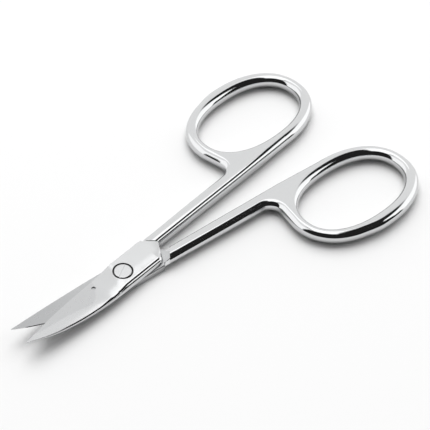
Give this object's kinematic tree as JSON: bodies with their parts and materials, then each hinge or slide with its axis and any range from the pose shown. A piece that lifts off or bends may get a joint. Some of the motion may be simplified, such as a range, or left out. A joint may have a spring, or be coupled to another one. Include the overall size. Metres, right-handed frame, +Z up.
{
  "type": "cuticle scissors",
  "caption": "Small all-metal scissors with short blades that curve upwards, slender shanks, oval finger loops and a flush slotted pivot screw.",
  "frame": {"origin": "on the pivot axis, at the underside that the scissors rest on", "axes": "+X along the scissors from the blades to the finger loops, +Y towards the upper half's loop, +Z up along the pivot axis"},
  "size_m": [0.0904, 0.0516, 0.0044],
  "materials": {
    "halves": "mirror-polished shanks and loops, satin-ground blades and joint",
    "screw": "bright, with a fine satin head"
  },
  "bodies": {
    "lower": {"lower_half": "halves", "pivot_screw": "screw"},
    "upper": {"upper_half": "halves"}
  },
  "joints": [
    {"name": "pivot", "type": "hinge", "parent": "lower", "child": "upper", "pos_m": [0, 0, 0], "axis": [0, 0, 1], "range_deg": [-9.2, 110]}
  ]
}
